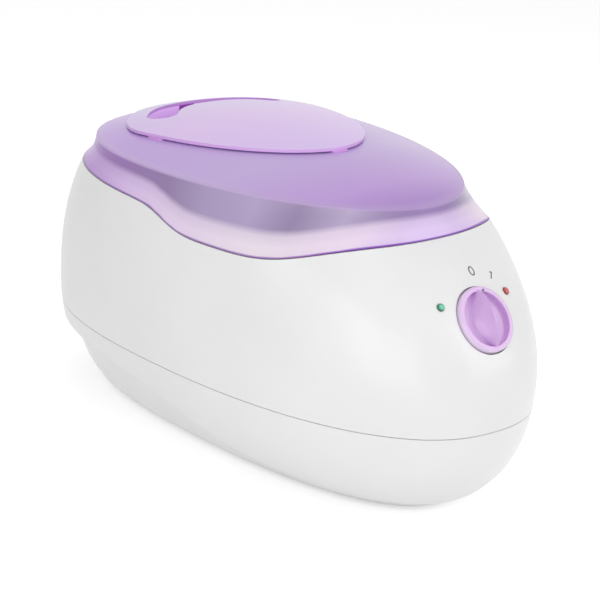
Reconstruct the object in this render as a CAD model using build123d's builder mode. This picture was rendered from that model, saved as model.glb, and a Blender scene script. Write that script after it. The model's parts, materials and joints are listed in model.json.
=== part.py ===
"""Paraffin bath: egg-shaped casing, translucent lid, heated wax tank and rotary control.

Millimetres. +X points to the control end, +Y to the far side, +Z up.
The origin is on the floor, under the middle of the casing.
"""

import math
import os

from build123d import *

os.makedirs("parts", exist_ok=True)

# Casing skin
FRONT_REACH = 185.0
REAR_REACH = 185.0
HALF_WIDTH = 108.0
STATION = -22.0
FRONT_BLUNTNESS = 2.32
REAR_BLUNTNESS = 2.47
FRONT_LEVEL = 75.0
FRONT_RISE = 122.0
FRONT_DROP = 98.0
FRONT_DROP_POWER = 2.75
REAR_LEVEL = 95.0
REAR_RISE = 148.0
REAR_DROP = 160.0
WIDTH_LEVEL = 90.0
WIDTH_RISE = 300.0
WIDTH_DROP = 107.0
SKIN_TOP = 176.0
OUTLINE_POINTS = 32

# Casing walls, seam and foot
WALL = 2.8
FOOT_HEIGHT = 2.0
FLOOR = 3.0
SEAM = 63.8
SEAM_GAP = 0.4
TONGUE_DEPTH = 6.0
TONGUE_WALL = 1.8
FIT = 0.2
FOLD_MIDDLE = 30.5
FOLD_SWING = 21.0
FOLD_X = 10.0
FOLD_SPREAD = 62.0
FOOT_RECESS_LOW = 4.0
FOOT_RECESS_HIGH = 9.0
VENT_PITCH = 14.0
VENT_LENGTH = 30.0
VENT_WIDTH = 4.0

# Wavy edge between the lid and the casing
EDGE_REAR = 164.0
EDGE_DIP = 152.5
EDGE_FRONT = 168.0
DIP_X = 33.0
DIP_REAR_SPREAD = 51.0
DIP_FRONT_SPREAD = 66.0

# Rim under the lid
LEDGE_DROP = 8.0
LEDGE_THICKNESS = 2.6
LIP_INSET = 13.5
LIP_WALL = 2.4
LIP_RISE = 7.5
DECK_TOP = 143.0
DECK_THICKNESS = 3.0

# Lid
LID_WALL = 2.4
LID_GAP = 0.5
LID_REST = 0.4
RIB_GAP = 0.6
RIB_WALL = 1.4
CREASE = 186.4
CREASE_FRONT = 115.7
CREASE_REAR = 143.6
CREASE_HALF = 101.0
CREASE_STATION = -43.5
CREASE_FRONT_POWER = 1.94
CREASE_REAR_POWER = 2.4
DOME_RISE = 16.4
DOME_POWER = 1.95
SKIRT_START = 148.0

# Handle plate, finger slot and clips
PLATE_FRONT = 31.6
PLATE_REAR = 131.5
PLATE_HALF = 74.8
PLATE_STATION = -79.8
PLATE_FRONT_POWER = 1.91
PLATE_REAR_POWER = 1.78
PLATE_GAP = 1.1
PLATE_THICKNESS = 2.0
SLOT_MIDDLE_X = -109.5
SLOT_END_X = -90.0
SLOT_END_Y = 45.0
SLOT_WIDTH = 20.0
CUP_WALL = 1.6
CUP_FLOOR = 183.0
CUP_RIM = 4.0
CUP_GAP = 0.3
WINDOW_WIDTH = 13.0
WINDOW_HEIGHT = 7.5
SIDE_CLIP_X = -62.0
CLIP_LENGTH = 13.0
CLIP_WIDTH = 5.0
CLIP_OUT = 1.4
CLIP_PIN = 2.0
CLIP_HEAD = 3.4
CLIP_GRIP = 5.4

# Wax tank
POT_FRONT = 98.0
POT_REAR = 134.0
POT_HALF = 78.0
POT_STATION = -26.0
POT_POWER = 2.2
POT_TAPER = 12.0
POT_BOTTOM = 48.0
POT_WALL = 1.5
POT_CORNER = 10.0
POT_GAP = 0.8
FLANGE = 11.0
GASKET = 0.8
STUD_CIRCLE = 7.2
STUD_RADIUS = 2.0
STUD_COUNT = 8
NUT_FLATS = 7.0
NUT_HEIGHT = 3.2
FASTENER_GAP = 0.05

# Grille in the tank
GRILLE_GAP = 3.0
GRILLE_REST = 0.3
GRILLE_THICKNESS = 2.5
GRILLE_FEET = 6.0
GRILLE_FOOT_RADIUS = 4.0
GRILLE_FRAME = 8.0
GRILLE_PITCH = 11.0
GRILLE_SLOT = 7.0
GRILLE_BAR = 5.0

# Heater
HEATER_PLATE = 5.0
HEATER_INSET = 20.0
ELEMENT_RADIUS = 3.2
ELEMENT_SIDE = 30.0
ELEMENT_FRONT = 42.0
ELEMENT_REAR = 92.0
ELEMENT_BEND = 28.0
ELEMENT_SUNK = 1.2
PIN_RADIUS = 1.2
PIN_LENGTH = 7.0
CLAMP_PLACES = (-60.0, 5.0)
CLAMP_INWARD = 9.0
CLAMP_WIDTH = 12.0
CLAMP_LENGTH = 20.0
CLAMP_THICKNESS = 1.5
BLANKET_GAP = 0.3
BLANKET = 6.0
BLANKET_LOW = 52.0
BLANKET_HIGH = 130.0
FUSE_X = -20.0
FUSE_RADIUS = 2.0
FUSE_LENGTH = 12.0
FUSE_STRAP = 1.0
EARTH_X = -62.0
EARTH_RADIUS = 1.9

# Control
KNOB_HEIGHT = 129.1
KNOB_RADIUS = 20.7
KNOB_GAP = 0.9
KNOB_REST = 0.8
KNOB_RIM = 7.0
KNOB_ROUND = 1.2
SCOOP_RADIUS = 17.4
SCOOP_DEPTH = 3.0
GRIP_HEIGHT = 10.6
GRIP_HALF = 9.0
GRIP_REACH = 18.4
GRIP_TOP = 1.2
GRIP_TURN = 4.0
POCKET_DEPTH = 6.5
POCKET_FLOOR = 2.0
POCKET_WALL = 2.0
SPINDLE_RADIUS = 3.0
SPINDLE_RUN = 0.06
SPINDLE_IN = 3.0
BUSH_RADIUS = 4.8
SPINDLE_NUT_FLATS = 13.0
SPINDLE_NUT = 2.4
BRACKET = 1.5
BRACKET_ARM = 14.0
THERMOSTAT_WIDTH = 32.0
THERMOSTAT_TALL = 28.0
THERMOSTAT_DEEP = 18.0
TAB_SIDE = 6.0
TAB_LENGTH = 7.0
TAB_WIDTH = 5.0
TAB_THICKNESS = 0.8
LAMP_RADIUS = 2.5
LAMP_DISTANCE = 30.7
LAMP_TURN = 68.0
LAMP_PROUD = 1.2
LAMP_LENGTH = 8.0
HOLDER_RADIUS = 4.4
HOLDER_LENGTH = 10.0

# Screws and feet
FRONT_POST = (112.0, 30.0)
REAR_POST = (-152.0, 24.0)
POST_RADIUS = 4.4
TOWER_WALL = 1.8
TOWER_TOP = 40.0
SCREW_RADIUS = 1.7
SCREW_HEAD = 3.4
SCREW_HEAD_HEIGHT = 2.6
HEAD_DEPTH = 10.0
SCREW_BITE = 18.0
FOOT_PLACES = ((95.0, 33.0), (-125.0, 33.0))
FOOT_RADIUS = 7.0
FOOT_PLUG = 2.2
FOOT_BARB = 3.0

# Mains entry and wiring
GLAND_HEIGHT = 28.0
GLAND_BORE = 3.6
GLAND_RADIUS = 6.0
GLAND_FLANGE = 8.5
GLAND_FLANGE_THICKNESS = 2.0
GLAND_OUT = 8.0
GLAND_NOSE = 5.4
GLAND_WALL = 8.0
CORD_CLAMP_X = -150.0
CORD_CLAMP_HALF = 9.5
CORD_CLAMP_SPACE = 7.0
CORD_CLAMP_WIDTH = 8.0
CORD_CLAMP_THICKNESS = 3.0
CLAMP_SCREW = 1.5
BLOCK_X = -112.0
BLOCK_LENGTH = 40.0
BLOCK_WIDTH = 22.0
BLOCK_HEIGHT = 14.0
BLOCK_PITCH = 6.0
LEAD_RADIUS = 1.1
LEAD_BEND = 3.0
LEAD_LOW = 12.0
LEAD_HIGH = 24.0


def share(distance, span, power):
    """Share of the widest size that is left at a distance from the widest level."""
    return max(1 - (abs(distance) / span) ** power, 0) ** (1 / power)


def front_reach(z):
    if z > FRONT_LEVEL:
        return FRONT_REACH * share(z - FRONT_LEVEL, FRONT_RISE, 2.0)
    return FRONT_REACH * share(z - FRONT_LEVEL, FRONT_DROP, FRONT_DROP_POWER)


def rear_reach(z):
    if z > REAR_LEVEL:
        return REAR_REACH * share(z - REAR_LEVEL, REAR_RISE, 2.0)
    return REAR_REACH * share(z - REAR_LEVEL, REAR_DROP, 3.0)


def half_width(z):
    if z > WIDTH_LEVEL:
        return HALF_WIDTH * share(z - WIDTH_LEVEL, WIDTH_RISE, 2.0)
    return HALF_WIDTH * share(z - WIDTH_LEVEL, WIDTH_DROP, 2.2)


def egg_point(turn, front, rear, half, station, front_power, rear_power):
    """Point of an egg outline in the direction of a turn from its station."""
    across = half * math.sin(turn)
    along = (front + rear) / 2 * math.cos(turn)
    span, power = (front - station, front_power) if along > 0 else (rear + station, rear_power)
    reach = (abs(along / span) ** power + abs(across / half) ** power) ** (-1 / power)
    return station + along * reach, across * reach


def turns():
    return [2 * math.pi * i / OUTLINE_POINTS for i in range(OUTLINE_POINTS)]


def levels(low, high, step):
    """Heights from low to high at nearly even steps."""
    count = max(1, math.ceil((high - low) / step))
    return [low + (high - low) * i / count for i in range(count + 1)]


def closed_curve(points):
    """Smooth closed curve with an even step from point to point."""
    return Edge.make_spline(points, periodic=True, parameters=range(len(points) + 1))


def outline_face(points, z):
    """Flat face inside a smooth closed outline at one height."""
    with BuildSketch(Plane.XY.offset(z), mode=Mode.PRIVATE) as face:
        with BuildLine():
            add(closed_curve(points))
        make_face()
    return face.sketch


def upright(face, height):
    """Straight block that stands on a face."""
    return extrude(face, amount=height, mode=Mode.PRIVATE)


def skin_point(turn, z, inset=0.0):
    """Point of the casing skin at height z, moved inwards by an inset."""
    return egg_point(turn, front_reach(z) - inset, rear_reach(z) - inset, half_width(z) - inset,
                     STATION, FRONT_BLUNTNESS, REAR_BLUNTNESS)


def skin_face(z, inset=0.0):
    return outline_face([skin_point(t, z, inset) for t in turns()], z)


def skin_solid(low, high, inset=0.0):
    """Everything inside the casing skin between two heights."""
    return loft([skin_face(z, inset) for z in levels(low, high, 14)], mode=Mode.PRIVATE)


def skin_ring(low, high, outer, inner):
    """Band between two insets of the casing skin."""
    return skin_solid(low, high, outer) - skin_solid(low - 1, high + 1, inner)


def foot_recess(z):
    """Inset of the foot from the casing skin."""
    return FOOT_RECESS_LOW + (FOOT_RECESS_HIGH - FOOT_RECESS_LOW) * z / SEAM


def foot_solid(low, high, inset=0.0):
    """Foot under the fold: the casing skin drawn in, more so the higher it reaches."""
    faces = [skin_face(z, foot_recess(z) + inset) for z in levels(low, high, 10)]
    return loft(faces, mode=Mode.PRIVATE)


def edge_height(x):
    """Height of the wavy edge of the casing above a station along X."""
    if x < DIP_X:
        return EDGE_REAR - (EDGE_REAR - EDGE_DIP) * math.exp(-((DIP_X - x) / DIP_REAR_SPREAD) ** 4)
    return EDGE_FRONT - (EDGE_FRONT - EDGE_DIP) * math.exp(-((x - DIP_X) / DIP_FRONT_SPREAD) ** 3.5)


def fold_height(x):
    """Height of the fold where the casing steps in to its foot."""
    return FOLD_MIDDLE - FOLD_SWING * math.tanh((x - FOLD_X) / FOLD_SPREAD)


def above_curve(height, lift=0.0):
    """Block that fills everything above a side-view curve."""
    reach = max(FRONT_REACH, REAR_REACH) + 15
    stations = levels(-reach, reach, 13)
    curve = [(x, height(x) + lift) for x in stations]
    with BuildPart(mode=Mode.PRIVATE) as block:
        with BuildSketch(Plane.XZ):
            with BuildLine():
                Spline(*curve)
                Polyline(curve[-1], (reach, TOP), (-reach, TOP), curve[0])
            make_face()
        extrude(amount=HALF_WIDTH + 15, both=True)
    return block.part


def edge_point(turn, inset=0.0):
    """Point of the skin on the wavy edge."""
    z = EDGE_REAR
    for _ in range(8):
        x, y = skin_point(turn, z, inset)
        z = edge_height(x)
    return x, y, z


def edge_prism(inset):
    """Upright block inside the plan outline of the wavy edge."""
    return upright(outline_face([edge_point(t, inset)[:2] for t in turns()], DECK_TOP), TOP - DECK_TOP)


def crease_point(turn, inset=0.0, scale=1.0):
    """Point of the dome outline, scaled about its station."""
    x, y = egg_point(turn, CREASE_FRONT - inset, CREASE_REAR - inset, CREASE_HALF - inset,
                     CREASE_STATION, CREASE_FRONT_POWER, CREASE_REAR_POWER)
    return CREASE_STATION + (x - CREASE_STATION) * scale, y * scale


def crease_height(inset):
    return CREASE - 0.4 * inset


def skirt_face(z, inset):
    """Level section of the lid between its wavy edge and the crease of its dome."""
    points = []
    for t in turns():
        x1, y1, z1 = edge_point(t, inset)
        x2, y2 = crease_point(t, inset)
        up = (z - z1) / (crease_height(inset) - z1)
        across = up * (3 - max(up, 0)) / 2
        points.append((x1 + (x2 - x1) * across, y1 + (y2 - y1) * across))
    return outline_face(points, z)


def dome_face(scale, inset=0.0, lift=0.0):
    """Level section of the dome at a share of its outline."""
    z = crease_height(inset) + (DOME_RISE - 0.6 * inset) * (1 - scale ** DOME_POWER) + lift
    return outline_face([crease_point(t, inset, scale) for t in turns()], z)


def dome_solid(inset=0.0, lift=0.0):
    scales = (1.0, 0.9, 0.76, 0.6, 0.42, 0.24, 0.1, 0.03)
    return loft([dome_face(s, inset, lift) for s in scales], mode=Mode.PRIVATE)


def dome_height(x, y):
    """Height of the dome above a place in plan."""
    span, power = CREASE_REAR + CREASE_STATION, CREASE_REAR_POWER
    if x > CREASE_STATION:
        span, power = CREASE_FRONT - CREASE_STATION, CREASE_FRONT_POWER
    scale = (abs((x - CREASE_STATION) / span) ** power + abs(y / CREASE_HALF) ** power) ** (1 / power)
    return CREASE + DOME_RISE * (1 - scale ** DOME_POWER)


def lid_block(inset=0.0):
    """Filled lid, from below its wavy edge to the top of its dome."""
    faces = [skirt_face(z, inset) for z in levels(SKIRT_START, crease_height(inset), 5)]
    return loft(faces, mode=Mode.PRIVATE) + dome_solid(inset)


def slot_block(low, grow=0.0):
    """Upright block over the curved finger slot, grown by an offset."""
    with BuildSketch(Plane.XY.offset(low), mode=Mode.PRIVATE) as face:
        with BuildLine(mode=Mode.PRIVATE) as middle:
            ThreePointArc((SLOT_END_X, -SLOT_END_Y), (SLOT_MIDDLE_X, 0), (SLOT_END_X, SLOT_END_Y))
        SlotArc(middle.edge(), SLOT_WIDTH + 2 * grow)
    return upright(face.sketch, TOP - low)


def pot_point(turn, z, offset):
    """Point of the tank at height z, moved outwards by an offset."""
    grow = offset - POT_TAPER * (DECK_TOP - z) / (DECK_TOP - POT_BOTTOM)
    return egg_point(turn, POT_FRONT + grow, POT_REAR + grow, POT_HALF + grow,
                     POT_STATION, POT_POWER, POT_POWER)


def pot_face(z, offset=0.0):
    return outline_face([pot_point(t, z, offset) for t in turns()], z)


def pot_solid(low, high, offset=0.0):
    """Tapered block inside the tank outline between two heights."""
    return loft([pot_face(low, offset), pot_face(high, offset)], mode=Mode.PRIVATE)


def both_sides(places):
    """Each place and its mirror image across the middle plane."""
    return [(x, side * y) for x, y in places for side in (-1, 1)]


def rod(points, radius, bend):
    """Round rod along straight runs with rounded corners."""
    with BuildPart(mode=Mode.PRIVATE) as run:
        with BuildLine() as path:
            FilletPolyline(*points, radius=bend)
        with BuildSketch(Plane(origin=path.line @ 0, z_dir=path.line % 0)):
            Circle(radius)
        sweep()
    return run.part


def nut_outline(flats, bore):
    """Hexagon with a round hole, for a nut sketch."""
    RegularPolygon(flats / 2, 6, major_radius=False)
    Circle(bore, mode=Mode.SUBTRACT)


def skin_x(y, z):
    """Station of the casing front at a place across and up."""
    return STATION + (front_reach(z) - STATION) * share(y, half_width(z), FRONT_BLUNTNESS)


def panel_plane():
    """Plane that touches the casing at the middle of the knob, with its y axis up the panel."""
    slope = (front_reach(KNOB_HEIGHT + 1) - front_reach(KNOB_HEIGHT - 1)) / 2
    return Plane(origin=(front_reach(KNOB_HEIGHT), 0, KNOB_HEIGHT), x_dir=(0, 1, 0),
                 z_dir=(1, 0, -slope))


def lamp_plane(side):
    """Plane that touches the casing at a lamp."""
    turn = math.radians(LAMP_TURN)
    place = PANEL.from_local_coords((side * LAMP_DISTANCE * math.sin(turn),
                                     LAMP_DISTANCE * math.cos(turn), 0))
    across = skin_x(place.Y + 0.5, place.Z) - skin_x(place.Y - 0.5, place.Z)
    up = skin_x(place.Y, place.Z + 0.5) - skin_x(place.Y, place.Z - 0.5)
    return Plane(origin=(skin_x(place.Y, place.Z), place.Y, place.Z), x_dir=(0, 0, 1),
                 z_dir=(1, -across, -up))


TOP = CREASE + DOME_RISE + 40
PANEL = panel_plane()
posts = both_sides((FRONT_POST, REAR_POST))
feet = both_sides(FOOT_PLACES)
studs = [pot_point(2 * math.pi * (i + 0.5) / STUD_COUNT, DECK_TOP, STUD_CIRCLE)
         for i in range(STUD_COUNT)]
deck_bottom = DECK_TOP - DECK_THICKNESS
pocket_bottom = POCKET_DEPTH + POCKET_FLOOR
floor_top = FOOT_HEIGHT + FLOOR
seam_top = SEAM - SEAM_GAP

# Housing: upper casing with the ledge and lip under the lid and the deck round the tank
shell = skin_ring(SEAM, SKIN_TOP, 0, WALL) - above_curve(edge_height)
ledge = skin_ring(DECK_TOP, SKIN_TOP, WALL - 0.5, LIP_INSET + 0.5)
ledge = ledge & above_curve(edge_height, -LEDGE_DROP)
ledge = ledge - above_curve(edge_height, LEDGE_THICKNESS - LEDGE_DROP)
lip = skin_ring(deck_bottom, SKIN_TOP, LIP_INSET, LIP_INSET + LIP_WALL)
lip = lip - above_curve(edge_height, LIP_RISE)
deck = skin_solid(deck_bottom, DECK_TOP, LIP_INSET + 0.5)
with BuildPart() as pocket:
    with BuildSketch(PANEL.offset(-pocket_bottom)):
        Circle(KNOB_RADIUS + KNOB_GAP + POCKET_WALL)
    extrude(amount=pocket_bottom + 2)
    add(skin_solid(SEAM, SKIN_TOP, 0.4), mode=Mode.INTERSECT)

with BuildPart() as housing:
    add([shell, ledge, lip, deck, pocket.part])
    with BuildSketch(Plane.XY.offset(TOWER_TOP + SEAM_GAP)):
        with Locations(posts):
            Circle(POST_RADIUS)
    extrude(amount=deck_bottom + 1 - TOWER_TOP - SEAM_GAP)
    with BuildSketch(Plane.XY.offset(TOWER_TOP)):
        with Locations(posts):
            Circle(SCREW_RADIUS + FASTENER_GAP)
    extrude(amount=SEAM_GAP + SCREW_BITE + 2, mode=Mode.SUBTRACT)
    add(pot_solid(deck_bottom - 1, DECK_TOP + 1, POT_WALL + POT_GAP), mode=Mode.SUBTRACT)
    with BuildSketch(Plane.XY.offset(deck_bottom - 1)):
        with Locations(studs):
            Circle(STUD_RADIUS + FIT)
    extrude(amount=DECK_THICKNESS + 2, mode=Mode.SUBTRACT)
    with BuildSketch(PANEL.offset(-POCKET_DEPTH)):
        Circle(KNOB_RADIUS + KNOB_GAP)
    extrude(amount=POCKET_DEPTH + 10, mode=Mode.SUBTRACT)
    with BuildSketch(PANEL.offset(-pocket_bottom - 1)):
        Circle(BUSH_RADIUS + FIT)
    extrude(amount=POCKET_FLOOR + 2, mode=Mode.SUBTRACT)
    for side in (-1, 1):
        with BuildSketch(lamp_plane(side).offset(-WALL - 2)):
            Circle(LAMP_RADIUS + FASTENER_GAP)
        extrude(amount=WALL + 4, mode=Mode.SUBTRACT)
housing.part.label = "housing"
export_step(housing.part, "parts/housing.step")

# Base cover: lower casing over a drawn-in foot, with a tongue that locates the housing
low_casing = skin_solid(FOOT_HEIGHT, seam_top) & above_curve(fold_height)
low_inside = skin_solid(FOOT_HEIGHT, SEAM + 1, WALL) & above_curve(fold_height, WALL)
tongue = skin_ring(SEAM - TONGUE_DEPTH, SEAM + TONGUE_DEPTH, WALL + FIT, WALL + FIT + TONGUE_WALL)
tongue_root = skin_ring(SEAM - TONGUE_DEPTH, seam_top, WALL - 0.5, WALL + FIT + 0.5)
gland_seat = rear_reach(GLAND_HEIGHT) - FOOT_RECESS_LOW
ENTRY = Plane(origin=(-gland_seat, 0, GLAND_HEIGHT), z_dir=(-1, 0, 0))
clamp_bosses = both_sides(((CORD_CLAMP_X, CORD_CLAMP_HALF),))
clamp_seat = floor_top + CORD_CLAMP_SPACE
with BuildPart() as base_cover:
    add([low_casing, foot_solid(FOOT_HEIGHT, seam_top)])
    add([low_inside, foot_solid(floor_top, SEAM + 1, WALL)], mode=Mode.SUBTRACT)
    add([tongue, tongue_root])
    with BuildSketch(ENTRY.offset(-GLAND_WALL)):
        Circle(GLAND_FLANGE + 1)
    extrude(amount=GLAND_WALL)
    with BuildSketch(ENTRY.offset(-GLAND_WALL - 1)):
        Circle(GLAND_RADIUS + FASTENER_GAP)
    extrude(amount=GLAND_WALL + 2, mode=Mode.SUBTRACT)
    with BuildSketch(Plane.XY.offset(FOOT_HEIGHT)):
        with Locations(posts):
            Circle(SCREW_HEAD + FIT + TOWER_WALL)
    extrude(amount=TOWER_TOP - FOOT_HEIGHT)
    with BuildSketch(Plane.XY.offset(FOOT_HEIGHT - 1)):
        with Locations(posts):
            Circle(SCREW_RADIUS + FIT)
    extrude(amount=TOWER_TOP, mode=Mode.SUBTRACT)
    with BuildSketch(Plane.XY.offset(FOOT_HEIGHT - 1)):
        with Locations(posts):
            Circle(SCREW_HEAD + FIT)
    extrude(amount=HEAD_DEPTH + 1, mode=Mode.SUBTRACT)
    with BuildSketch(Plane.XY.offset(floor_top - 1)):
        with Locations(clamp_bosses):
            Circle(CLAMP_SCREW + TOWER_WALL)
    extrude(amount=CORD_CLAMP_SPACE + 1)
    with BuildSketch(Plane.XY.offset(floor_top)):
        with Locations(clamp_bosses):
            Circle(CLAMP_SCREW + FASTENER_GAP)
    extrude(amount=CORD_CLAMP_SPACE + 1, mode=Mode.SUBTRACT)
    with BuildSketch(Plane.XY.offset(FOOT_HEIGHT - 1)):
        with Locations(feet):
            Circle(FOOT_PLUG + FASTENER_GAP)
        with Locations((0, 0)):
            with GridLocations(VENT_PITCH, VENT_LENGTH + VENT_PITCH, 5, 2):
                SlotOverall(VENT_LENGTH, VENT_WIDTH, rotation=90)
    extrude(amount=FLOOR + 2, mode=Mode.SUBTRACT)
base_cover.part.label = "base_cover"
export_step(base_cover.part, "parts/base_cover.step")

# Lid shell: skirt and dome, a rib that centres it, and openings for the cup and the clips
clip_edge = PLATE_HALF * share(SIDE_CLIP_X - PLATE_STATION, PLATE_FRONT - PLATE_STATION, PLATE_FRONT_POWER)
clips = [(SIDE_CLIP_X, -clip_edge + CLIP_WIDTH / 2 - CLIP_OUT, 0),
         (SIDE_CLIP_X, clip_edge - CLIP_WIDTH / 2 + CLIP_OUT, 0),
         (PLATE_FRONT - CLIP_WIDTH / 2 + CLIP_OUT, 0, 90)]
rib = edge_prism(WALL + RIB_GAP) - edge_prism(WALL + RIB_GAP + RIB_WALL)
rib = rib & above_curve(edge_height, LEDGE_THICKNESS - LEDGE_DROP + LID_REST)
rib = rib & lid_block(LID_WALL / 2)
with BuildPart() as lid_shell:
    add(lid_block())
    add(lid_block(LID_WALL), mode=Mode.SUBTRACT)
    add(above_curve(edge_height, LID_GAP), mode=Mode.INTERSECT)
    add(rib)
    add(slot_block(CREASE - 5, CUP_WALL + CUP_GAP), mode=Mode.SUBTRACT)
    with BuildSketch(Plane.XY.offset(CREASE - 5)):
        for x, y, _ in clips:
            with Locations((x, y)):
                Circle(CLIP_PIN + FIT)
    extrude(amount=DOME_RISE + 10, mode=Mode.SUBTRACT)
lid_shell.part.label = "lid_shell"
export_step(lid_shell.part, "parts/lid_shell.step")

# Handle plate: leaf shape that follows the dome
plate_outline = [egg_point(t, PLATE_FRONT, PLATE_REAR, PLATE_HALF, PLATE_STATION,
                           PLATE_FRONT_POWER, PLATE_REAR_POWER) for t in turns()]
with BuildPart() as handle_plate:
    extrude(outline_face(plate_outline, CREASE), amount=TOP - CREASE)
    add(dome_solid(lift=PLATE_GAP + PLATE_THICKNESS), mode=Mode.INTERSECT)
    add(dome_solid(lift=PLATE_GAP), mode=Mode.SUBTRACT)
    add(slot_block(CREASE), mode=Mode.SUBTRACT)
handle_plate.part.label = "handle_plate"
export_step(handle_plate.part, "parts/handle_plate.step")

# Finger cup: well under the slot, with a rim on the dome and a window in its rear wall
with BuildPart() as finger_cup:
    add(slot_block(CREASE, CUP_RIM))
    add(dome_solid(lift=PLATE_GAP - 0.1), mode=Mode.INTERSECT)
    add(dome_solid(lift=0.1), mode=Mode.SUBTRACT)
    add(slot_block(CUP_FLOOR - CUP_WALL, CUP_WALL) & dome_solid(lift=PLATE_GAP - 0.1))
    add(slot_block(CUP_FLOOR), mode=Mode.SUBTRACT)
    with Locations((SLOT_MIDDLE_X - SLOT_WIDTH / 2, 0, CUP_FLOOR + 1 + WINDOW_HEIGHT / 2)):
        Box(3 * CUP_WALL, WINDOW_WIDTH, WINDOW_HEIGHT, mode=Mode.SUBTRACT)
finger_cup.part.label = "finger_cup"
export_step(finger_cup.part, "parts/finger_cup.step")

# Handle clips: a pad under the plate edge, and a pin with a head through the lid
with BuildPart() as handle_clips:
    for x, y, turn in clips:
        with BuildSketch(Plane.XY.offset(CREASE)):
            with Locations((x, y)):
                SlotOverall(CLIP_LENGTH, CLIP_WIDTH, rotation=turn)
        extrude(amount=TOP - CREASE)
    add(dome_solid(lift=PLATE_GAP), mode=Mode.INTERSECT)
    add(dome_solid(), mode=Mode.SUBTRACT)
    for x, y, _ in clips:
        head = Plane.XY.offset(dome_height(x, y) - CLIP_GRIP)
        with BuildSketch(head):
            with Locations((x, y)):
                Circle(CLIP_PIN)
        extrude(amount=CLIP_GRIP + PLATE_GAP / 2)
        with BuildSketch(head):
            with Locations((x, y)):
                Circle(CLIP_HEAD)
        extrude(amount=-CLIP_PIN)
handle_clips.part.label = "handle_clips"
export_step(handle_clips.part, "parts/handle_clips.step")

# Wax tank: tapered tub with a flange on the deck and welded studs through it
rim_low = DECK_TOP + GASKET
with BuildPart() as tank_space:
    add(pot_solid(POT_BOTTOM + POT_WALL, rim_low + POT_WALL + 1))
    fillet(tank_space.faces().sort_by(Axis.Z)[0].edges(), POT_CORNER - POT_WALL)
with BuildPart() as wax_pot:
    add(pot_solid(POT_BOTTOM, rim_low + POT_WALL, POT_WALL))
    fillet(wax_pot.faces().sort_by(Axis.Z)[0].edges(), POT_CORNER)
    extrude(pot_face(rim_low, FLANGE), amount=POT_WALL)
    add(tank_space.part, mode=Mode.SUBTRACT)
    with BuildSketch(Plane.XY.offset(rim_low)):
        with Locations(studs):
            Circle(STUD_RADIUS)
    extrude(amount=-(GASKET + DECK_THICKNESS + NUT_HEIGHT + 1.5))
wax_pot.part.label = "wax_pot"
export_step(wax_pot.part, "parts/wax_pot.step")

# Gasket between the tank flange and the deck
with BuildPart() as pot_gasket:
    extrude(pot_face(DECK_TOP, FLANGE - 0.5), amount=GASKET)
    extrude(pot_face(DECK_TOP, POT_WALL + POT_GAP), amount=GASKET, mode=Mode.SUBTRACT)
    with BuildSketch(Plane.XY.offset(DECK_TOP)):
        with Locations(studs):
            Circle(STUD_RADIUS + FIT)
    extrude(amount=GASKET, mode=Mode.SUBTRACT)
pot_gasket.part.label = "pot_gasket"
export_step(pot_gasket.part, "parts/pot_gasket.step")

# Nuts that hold the tank from under the deck
with BuildPart() as pot_nuts:
    with BuildSketch(Plane.XY.offset(deck_bottom)):
        with Locations(studs):
            nut_outline(NUT_FLATS, STUD_RADIUS + FASTENER_GAP)
    extrude(amount=-NUT_HEIGHT)
pot_nuts.part.label = "pot_nuts"
export_step(pot_nuts.part, "parts/pot_nuts.step")

# Guard grille: slotted plate on short feet, loose in the tank
grille_low = POT_BOTTOM + POT_WALL + GRILLE_REST
grille_seat = grille_low + GRILLE_FEET
with BuildPart() as guard_grille:
    extrude(pot_face(grille_seat, -GRILLE_GAP), amount=GRILLE_THICKNESS)
    with BuildSketch(Plane.XY.offset(grille_seat)):
        with Locations(((POT_FRONT - POT_REAR) / 2, 0)):
            with GridLocations(GRILLE_PITCH, 0, int(2 * POT_REAR / GRILLE_PITCH), 1):
                Rectangle(GRILLE_SLOT, 2 * POT_HALF)
        add(pot_face(grille_seat, -GRILLE_GAP - GRILLE_FRAME), mode=Mode.INTERSECT)
        with Locations((0, -POT_HALF / 3), (0, POT_HALF / 3)):
            Rectangle(4 * POT_REAR, GRILLE_BAR, mode=Mode.SUBTRACT)
    extrude(amount=GRILLE_THICKNESS, mode=Mode.SUBTRACT)
    with BuildSketch(Plane.XY.offset(grille_low)):
        with Locations(both_sides(((POT_FRONT / 2, POT_HALF / 3), (-POT_REAR * 0.65, POT_HALF / 3)))):
            Circle(GRILLE_FOOT_RADIUS)
    extrude(amount=GRILLE_FEET + GRILLE_THICKNESS)
guard_grille.part.label = "guard_grille"
export_step(guard_grille.part, "parts/guard_grille.step")

# Heater plate: flat plate under the tank, with a groove for the element and studs for its clamps
plate_low = POT_BOTTOM - HEATER_PLATE
element_z = plate_low - ELEMENT_RADIUS + ELEMENT_SUNK
element_path = [(-ELEMENT_REAR, -ELEMENT_SIDE, element_z), (ELEMENT_FRONT, -ELEMENT_SIDE, element_z),
                (ELEMENT_FRONT, ELEMENT_SIDE, element_z), (-ELEMENT_REAR, ELEMENT_SIDE, element_z)]
clamp_studs = both_sides([(x, ELEMENT_SIDE - CLAMP_INWARD) for x in CLAMP_PLACES])
strap_top = element_z - ELEMENT_RADIUS
strap_low = strap_top - CLAMP_THICKNESS
with BuildPart() as heater_plate:
    extrude(pot_face(POT_BOTTOM, -HEATER_INSET), amount=-HEATER_PLATE)
    add(rod(element_path, ELEMENT_RADIUS + FASTENER_GAP, ELEMENT_BEND), mode=Mode.SUBTRACT)
    with BuildSketch(Plane.XY.offset(plate_low)):
        with Locations(clamp_studs):
            Circle(STUD_RADIUS)
    extrude(amount=strap_low - NUT_HEIGHT - 1.5 - plate_low)
    with BuildSketch(Plane.XY.offset(plate_low)):
        with Locations((EARTH_X, 0)):
            Circle(EARTH_RADIUS + FASTENER_GAP)
    extrude(amount=HEATER_PLATE - 1, mode=Mode.SUBTRACT)
heater_plate.part.label = "heater_plate"
export_step(heater_plate.part, "parts/heater_plate.step")

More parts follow.
